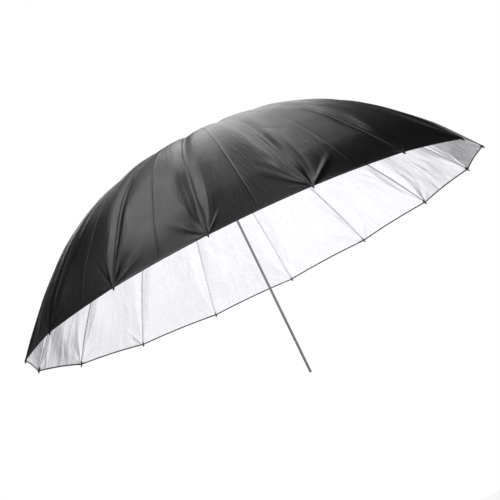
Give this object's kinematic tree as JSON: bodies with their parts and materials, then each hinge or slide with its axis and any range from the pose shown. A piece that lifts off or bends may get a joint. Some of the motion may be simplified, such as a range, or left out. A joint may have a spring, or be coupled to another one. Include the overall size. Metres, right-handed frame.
{
  "type": "umbrella reflector",
  "caption": "Large parabolic studio umbrella, black outside and silver inside, with straight hem edges between rib tips, a sliding runner and a plain tube shaft for a light stand clamp.",
  "frame": {"origin": "centre of the shaft's free end, the end a light stand's clamp grips", "axes": "+Z along the shaft, from the free end to the crown; +X through the first rib"},
  "size_m": [1.5988, 1.5988, 0.8343],
  "materials": {
    "anodised_tube": "satin grey metal tube",
    "black_plastic": "moulded black nylon",
    "black_gloss_plastic": "moulded black nylon, polished",
    "spring_steel": "bright steel",
    "pale_fibreglass": "pale grey pultruded fibreglass rods with steel fittings",
    "stretcher_steel": "bright zinc plated steel channel",
    "black_silver_canopy": "black nylon satin outside, silver coating inside",
    "washer_cloth": "stiff black cloth"
  },
  "bodies": {
    "shaft": {"shaft_tube": "anodised_tube", "shaft_plug": "black_plastic", "catch_pin": "spring_steel", "crown": "black_plastic", "crown_ring": "spring_steel", "crown_rivet": "spring_steel", "washer": "washer_cloth", "top_cap": "black_gloss_plastic"},
    "catch": {"spring_catch": "spring_steel"},
    "runner": {"runner": "black_plastic", "runner_ring": "spring_steel"},
    "rib_01": {"rib_01": "pale_fibreglass", "canopy_panel_01": "black_silver_canopy"},
    "stretcher_01": {"stretcher_01": "stretcher_steel"},
    "rib_02": {"rib_02": "pale_fibreglass", "canopy_panel_02": "black_silver_canopy"},
    "stretcher_02": {"stretcher_02": "stretcher_steel"},
    "rib_03": {"rib_03": "pale_fibreglass", "canopy_panel_03": "black_silver_canopy"},
    "stretcher_03": {"stretcher_03": "stretcher_steel"},
    "rib_04": {"rib_04": "pale_fibreglass", "canopy_panel_04": "black_silver_canopy"},
    "stretcher_04": {"stretcher_04": "stretcher_steel"},
    "rib_05": {"rib_05": "pale_fibreglass", "canopy_panel_05": "black_silver_canopy"},
    "stretcher_05": {"stretcher_05": "stretcher_steel"},
    "rib_06": {"rib_06": "pale_fibreglass", "canopy_panel_06": "black_silver_canopy"},
    "stretcher_06": {"stretcher_06": "stretcher_steel"},
    "rib_07": {"rib_07": "pale_fibreglass", "canopy_panel_07": "black_silver_canopy"},
    "stretcher_07": {"stretcher_07": "stretcher_steel"},
    "rib_08": {"rib_08": "pale_fibreglass", "canopy_panel_08": "black_silver_canopy"},
    "stretcher_08": {"stretcher_08": "stretcher_steel"},
    "rib_09": {"rib_09": "pale_fibreglass", "canopy_panel_09": "black_silver_canopy"},
    "stretcher_09": {"stretcher_09": "stretcher_steel"},
    "rib_10": {"rib_10": "pale_fibreglass", "canopy_panel_10": "black_silver_canopy"},
    "stretcher_10": {"stretcher_10": "stretcher_steel"},
    "rib_11": {"rib_11": "pale_fibreglass", "canopy_panel_11": "black_silver_canopy"},
    "stretcher_11": {"stretcher_11": "stretcher_steel"},
    "rib_12": {"rib_12": "pale_fibreglass", "canopy_panel_12": "black_silver_canopy"},
    "stretcher_12": {"stretcher_12": "stretcher_steel"},
    "rib_13": {"rib_13": "pale_fibreglass", "canopy_panel_13": "black_silver_canopy"},
    "stretcher_13": {"stretcher_13": "stretcher_steel"},
    "rib_14": {"rib_14": "pale_fibreglass", "canopy_panel_14": "black_silver_canopy"},
    "stretcher_14": {"stretcher_14": "stretcher_steel"},
    "rib_15": {"rib_15": "pale_fibreglass", "canopy_panel_15": "black_silver_canopy"},
    "stretcher_15": {"stretcher_15": "stretcher_steel"},
    "rib_16": {"rib_16": "pale_fibreglass", "canopy_panel_16": "black_silver_canopy"},
    "stretcher_16": {"stretcher_16": "stretcher_steel"}
  },
  "joints": [
    {"name": "rib_01_fold", "type": "hinge", "parent": "shaft", "child": "rib_01", "pos_m": [0.012, 0, 0.82722], "axis": [0, 1, 0], "range_deg": [0, 58.5], "deforming": ["canopy_panel_01", "spring_catch"]},
    {"name": "rib_02_fold", "type": "hinge", "parent": "shaft", "child": "rib_02", "pos_m": [0.01109, 0.00459, 0.82722], "axis": [-0.3827, 0.9239, 0], "range_deg": [0, 58.5], "deforming": ["canopy_panel_02"]},
    {"name": "rib_03_fold", "type": "hinge", "parent": "shaft", "child": "rib_03", "pos_m": [0.00848, 0.00848, 0.82722], "axis": [-0.7071, 0.7071, 0], "range_deg": [0, 58.5], "deforming": ["canopy_panel_03"]},
    {"name": "rib_04_fold", "type": "hinge", "parent": "shaft", "child": "rib_04", "pos_m": [0.00459, 0.01109, 0.82722], "axis": [-0.9239, 0.3827, 0], "range_deg": [0, 58.5], "deforming": ["canopy_panel_04"]},
    {"name": "rib_05_fold", "type": "hinge", "parent": "shaft", "child": "rib_05", "pos_m": [0, 0.012, 0.82722], "axis": [-1, 0, 0], "range_deg": [0, 58.5], "deforming": ["canopy_panel_05"]},
    {"name": "rib_06_fold", "type": "hinge", "parent": "shaft", "child": "rib_06", "pos_m": [-0.00459, 0.01109, 0.82722], "axis": [-0.9239, -0.3827, 0], "range_deg": [0, 58.5], "deforming": ["canopy_panel_06"]},
    {"name": "rib_07_fold", "type": "hinge", "parent": "shaft", "child": "rib_07", "pos_m": [-0.00848, 0.00848, 0.82722], "axis": [-0.7071, -0.7071, 0], "range_deg": [0, 58.5], "deforming": ["canopy_panel_07"]},
    {"name": "rib_08_fold", "type": "hinge", "parent": "shaft", "child": "rib_08", "pos_m": [-0.01109, 0.00459, 0.82722], "axis": [-0.3827, -0.9239, 0], "range_deg": [0, 58.5], "deforming": ["canopy_panel_08"]},
    {"name": "rib_09_fold", "type": "hinge", "parent": "shaft", "child": "rib_09", "pos_m": [-0.012, 0, 0.82722], "axis": [0, -1, 0], "range_deg": [0, 58.5], "deforming": ["canopy_panel_09"]},
    {"name": "rib_10_fold", "type": "hinge", "parent": "shaft", "child": "rib_10", "pos_m": [-0.01109, -0.00459, 0.82722], "axis": [0.3827, -0.9239, 0], "range_deg": [0, 58.5], "deforming": ["canopy_panel_10"]},
    {"name": "rib_11_fold", "type": "hinge", "parent": "shaft", "child": "rib_11", "pos_m": [-0.00848, -0.00848, 0.82722], "axis": [0.7071, -0.7071, 0], "range_deg": [0, 58.5], "deforming": ["canopy_panel_11"]},
    {"name": "rib_12_fold", "type": "hinge", "parent": "shaft", "child": "rib_12", "pos_m": [-0.00459, -0.01109, 0.82722], "axis": [0.9239, -0.3827, 0], "range_deg": [0, 58.5], "deforming": ["canopy_panel_12"]},
    {"name": "rib_13_fold", "type": "hinge", "parent": "shaft", "child": "rib_13", "pos_m": [0, -0.012, 0.82722], "axis": [1, 0, 0], "range_deg": [0, 58.5], "deforming": ["canopy_panel_13"]},
    {"name": "rib_14_fold", "type": "hinge", "parent": "shaft", "child": "rib_14", "pos_m": [0.00459, -0.01109, 0.82722], "axis": [0.9239, 0.3827, 0], "range_deg": [0, 58.5], "deforming": ["canopy_panel_14"]},
    {"name": "rib_15_fold", "type": "hinge", "parent": "shaft", "child": "rib_15", "pos_m": [0.00848, -0.00848, 0.82722], "axis": [0.7071, 0.7071, 0], "range_deg": [0, 58.5], "deforming": ["canopy_panel_15"]},
    {"name": "rib_16_fold", "type": "hinge", "parent": "shaft", "child": "rib_16", "pos_m": [0.01109, -0.00459, 0.82722], "axis": [0.3827, 0.9239, 0], "range_deg": [0, 58.5], "deforming": ["canopy_panel_16"]},
    {"name": "stretcher_01_turn", "type": "hinge", "parent": "rib_01", "child": "stretcher_01", "pos_m": [0.34892, 0, 0.75586], "axis": [0, 1, 0], "range_deg": [-117, 0]},
    {"name": "stretcher_02_turn", "type": "hinge", "parent": "rib_02", "child": "stretcher_02", "pos_m": [0.32236, 0.13353, 0.75586], "axis": [-0.3827, 0.9239, 0], "range_deg": [-117, 0]},
    {"name": "stretcher_03_turn", "type": "hinge", "parent": "rib_03", "child": "stretcher_03", "pos_m": [0.24672, 0.24672, 0.75586], "axis": [-0.7071, 0.7071, 0], "range_deg": [-117, 0]},
    {"name": "stretcher_04_turn", "type": "hinge", "parent": "rib_04", "child": "stretcher_04", "pos_m": [0.13353, 0.32236, 0.75586], "axis": [-0.9239, 0.3827, 0], "range_deg": [-117, 0]},
    {"name": "stretcher_05_turn", "type": "hinge", "parent": "rib_05", "child": "stretcher_05", "pos_m": [0, 0.34892, 0.75586], "axis": [-1, 0, 0], "range_deg": [-117, 0]},
    {"name": "stretcher_06_turn", "type": "hinge", "parent": "rib_06", "child": "stretcher_06", "pos_m": [-0.13353, 0.32236, 0.75586], "axis": [-0.9239, -0.3827, 0], "range_deg": [-117, 0]},
    {"name": "stretcher_07_turn", "type": "hinge", "parent": "rib_07", "child": "stretcher_07", "pos_m": [-0.24672, 0.24672, 0.75586], "axis": [-0.7071, -0.7071, 0], "range_deg": [-117, 0]},
    {"name": "stretcher_08_turn", "type": "hinge", "parent": "rib_08", "child": "stretcher_08", "pos_m": [-0.32236, 0.13353, 0.75586], "axis": [-0.3827, -0.9239, 0], "range_deg": [-117, 0]},
    {"name": "stretcher_09_turn", "type": "hinge", "parent": "rib_09", "child": "stretcher_09", "pos_m": [-0.34892, 0, 0.75586], "axis": [0, -1, 0], "range_deg": [-117, 0]},
    {"name": "stretcher_10_turn", "type": "hinge", "parent": "rib_10", "child": "stretcher_10", "pos_m": [-0.32236, -0.13353, 0.75586], "axis": [0.3827, -0.9239, 0], "range_deg": [-117, 0]},
    {"name": "stretcher_11_turn", "type": "hinge", "parent": "rib_11", "child": "stretcher_11", "pos_m": [-0.24672, -0.24672, 0.75586], "axis": [0.7071, -0.7071, 0], "range_deg": [-117, 0]},
    {"name": "stretcher_12_turn", "type": "hinge", "parent": "rib_12", "child": "stretcher_12", "pos_m": [-0.13353, -0.32236, 0.75586], "axis": [0.9239, -0.3827, 0], "range_deg": [-117, 0]},
    {"name": "stretcher_13_turn", "type": "hinge", "parent": "rib_13", "child": "stretcher_13", "pos_m": [0, -0.34892, 0.75586], "axis": [1, 0, 0], "range_deg": [-117, 0]},
    {"name": "stretcher_14_turn", "type": "hinge", "parent": "rib_14", "child": "stretcher_14", "pos_m": [0.13353, -0.32236, 0.75586], "axis": [0.9239, 0.3827, 0], "range_deg": [-117, 0]},
    {"name": "stretcher_15_turn", "type": "hinge", "parent": "rib_15", "child": "stretcher_15", "pos_m": [0.24672, -0.24672, 0.75586], "axis": [0.7071, 0.7071, 0], "range_deg": [-117, 0]},
    {"name": "stretcher_16_turn", "type": "hinge", "parent": "rib_16", "child": "stretcher_16", "pos_m": [0.32236, -0.13353, 0.75586], "axis": [0.3827, 0.9239, 0], "range_deg": [-117, 0]},
    {"name": "runner_slide_pivot", "type": "hinge", "parent": "stretcher_01", "child": "runner", "pos_m": [0.012, 0, 0.68449], "axis": [0, 1, 0], "range_deg": [0, 58.5]},
    {"name": "catch_press", "type": "hinge", "parent": "shaft", "child": "catch", "pos_m": [0, 0, 0.60599], "axis": [0, -1, 0], "range_deg": [0, 7], "stiffness_Nm_per_rad": 0.4, "springref_deg": -2.86}
  ],
  "couplings": [
    {"joint": "rib_02_fold", "follows": "rib_01_fold", "ratio": 1},
    {"joint": "rib_03_fold", "follows": "rib_01_fold", "ratio": 1},
    {"joint": "rib_04_fold", "follows": "rib_01_fold", "ratio": 1},
    {"joint": "rib_05_fold", "follows": "rib_01_fold", "ratio": 1},
    {"joint": "rib_06_fold", "follows": "rib_01_fold", "ratio": 1},
    {"joint": "rib_07_fold", "follows": "rib_01_fold", "ratio": 1},
    {"joint": "rib_08_fold", "follows": "rib_01_fold", "ratio": 1},
    {"joint": "rib_09_fold", "follows": "rib_01_fold", "ratio": 1},
    {"joint": "rib_10_fold", "follows": "rib_01_fold", "ratio": 1},
    {"joint": "rib_11_fold", "follows": "rib_01_fold", "ratio": 1},
    {"joint": "rib_12_fold", "follows": "rib_01_fold", "ratio": 1},
    {"joint": "rib_13_fold", "follows": "rib_01_fold", "ratio": 1},
    {"joint": "rib_14_fold", "follows": "rib_01_fold", "ratio": 1},
    {"joint": "rib_15_fold", "follows": "rib_01_fold", "ratio": 1},
    {"joint": "rib_16_fold", "follows": "rib_01_fold", "ratio": 1},
    {"joint": "stretcher_01_turn", "follows": "rib_01_fold", "ratio": -2},
    {"joint": "stretcher_02_turn", "follows": "rib_01_fold", "ratio": -2},
    {"joint": "stretcher_03_turn", "follows": "rib_01_fold", "ratio": -2},
    {"joint": "stretcher_04_turn", "follows": "rib_01_fold", "ratio": -2},
    {"joint": "stretcher_05_turn", "follows": "rib_01_fold", "ratio": -2},
    {"joint": "stretcher_06_turn", "follows": "rib_01_fold", "ratio": -2},
    {"joint": "stretcher_07_turn", "follows": "rib_01_fold", "ratio": -2},
    {"joint": "stretcher_08_turn", "follows": "rib_01_fold", "ratio": -2},
    {"joint": "stretcher_09_turn", "follows": "rib_01_fold", "ratio": -2},
    {"joint": "stretcher_10_turn", "follows": "rib_01_fold", "ratio": -2},
    {"joint": "stretcher_11_turn", "follows": "rib_01_fold", "ratio": -2},
    {"joint": "stretcher_12_turn", "follows": "rib_01_fold", "ratio": -2},
    {"joint": "stretcher_13_turn", "follows": "rib_01_fold", "ratio": -2},
    {"joint": "stretcher_14_turn", "follows": "rib_01_fold", "ratio": -2},
    {"joint": "stretcher_15_turn", "follows": "rib_01_fold", "ratio": -2},
    {"joint": "stretcher_16_turn", "follows": "rib_01_fold", "ratio": -2},
    {"joint": "runner_slide_pivot", "follows": "rib_01_fold", "ratio": 1}
  ]
}
